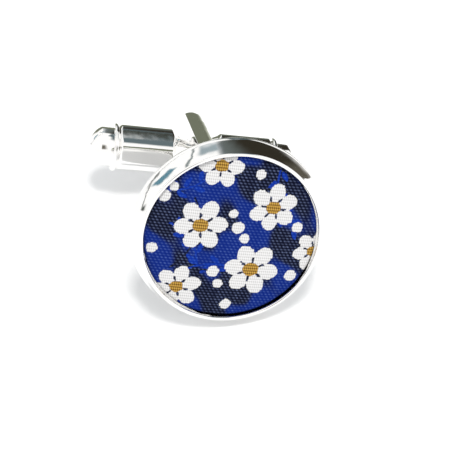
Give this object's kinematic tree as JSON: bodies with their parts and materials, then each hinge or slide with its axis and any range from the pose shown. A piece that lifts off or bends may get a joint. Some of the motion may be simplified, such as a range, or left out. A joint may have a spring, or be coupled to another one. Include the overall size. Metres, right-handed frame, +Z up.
{
  "type": "fabric cufflink",
  "caption": "Round bezel cufflink with a domed fabric face, a forked post and a hexagonal bullet toggle that swivels.",
  "frame": {"origin": "on the surface that the cufflink lies on, below the middle of its overall length and width", "axes": "+Z up; +Y from the cup towards the toggle, which the fork follows as it slopes down; the cloth face looks towards -Y and up; +X along the toggle, whose +X end is the low one"},
  "size_m": [0.023, 0.0278, 0.0188],
  "materials": {
    "silver_plate": "polished silver plate",
    "printed_cotton": "plain weave cotton, printed"
  },
  "bodies": {
    "root": {"cup_and_fork": "silver_plate", "fabric_pad": "printed_cotton", "rivet": "silver_plate"},
    "toggle": {"toggle_bar": "silver_plate", "left_cap": "silver_plate", "right_cap": "silver_plate"}
  },
  "joints": [
    {"name": "toggle_swivel", "type": "hinge", "parent": "root", "child": "toggle", "pos_m": [0, 0.00901, 0.00452], "axis": [0.2198, 0.2525, 0.9423], "range_deg": [-90, 90]}
  ]
}
